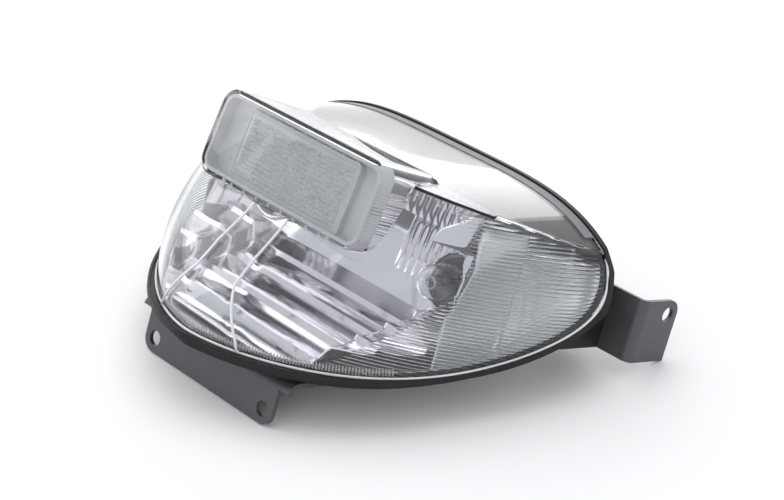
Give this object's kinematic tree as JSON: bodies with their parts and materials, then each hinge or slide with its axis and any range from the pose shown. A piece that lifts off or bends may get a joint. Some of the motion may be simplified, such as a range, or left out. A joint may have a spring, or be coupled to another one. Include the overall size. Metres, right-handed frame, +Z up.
{
  "type": "motorcycle tail light",
  "caption": "Clear-lens motorcycle tail light with a raised reflex panel, chrome reflector, twist-lock bulb holders and bent sheet mounting brackets.",
  "frame": {"origin": "centre of the base of the bounding box, on the surface the light stands on when laid on its brackets", "axes": "+X to the light's right seen from behind the vehicle, -Y towards the side the lens looks to, +Z up from the surface; the vehicle's rearward direction lies in the YZ plane, about 21 degrees above -Y"},
  "size_m": [0.2938, 0.224, 0.1305],
  "materials": {
    "lens_clear": "clear moulded acrylic, polished, fluted at the sides",
    "reflex_clear": "clear prismatic acrylic",
    "frame_clear": "pale satin plastic",
    "chrome": "vacuum-metallised plastic",
    "housing_black": "textured black plastic",
    "seal_black": "black sealing bead",
    "holder_seal": "dark silicone ring",
    "bracket_grey": "dark grey satin powder coat",
    "screw_steel": "zinc-plated steel",
    "bulb_glass": "clear glass",
    "filament": "tungsten coil and nickel leads",
    "holder_plastic": "black glass-filled plastic",
    "contact": "tinned brass strip"
  },
  "bodies": {
    "lamp": {"outer_lens": "lens_clear", "reflex_panel": "reflex_clear", "panel_frame": "frame_clear", "chrome_reflector": "chrome", "housing": "housing_black", "lens_seal": "seal_black", "lower_bracket": "bracket_grey", "side_bracket_left": "bracket_grey", "side_bracket_right": "bracket_grey", "lower_bracket_screws": "screw_steel", "side_bracket_screws": "screw_steel", "reflector_screws": "screw_steel"},
    "holder_left": {"bulb_holder_left": "holder_plastic", "bulb_glass_left": "bulb_glass", "filaments_left": "filament", "holder_contacts_left": "contact", "holder_seal_left": "holder_seal"},
    "holder_right": {"bulb_holder_right": "holder_plastic", "bulb_glass_right": "bulb_glass", "filaments_right": "filament", "holder_contacts_right": "contact", "holder_seal_right": "holder_seal"}
  },
  "joints": [
    {"name": "holder_left_twist", "type": "hinge", "parent": "lamp", "child": "holder_left", "pos_m": [-0.07, 0.03761, 0.04208], "axis": [0, -0.934, 0.3574], "range_deg": [-45, 0]},
    {"name": "holder_right_twist", "type": "hinge", "parent": "lamp", "child": "holder_right", "pos_m": [0.07, 0.03761, 0.04208], "axis": [0, -0.934, 0.3574], "range_deg": [-45, 0]}
  ]
}
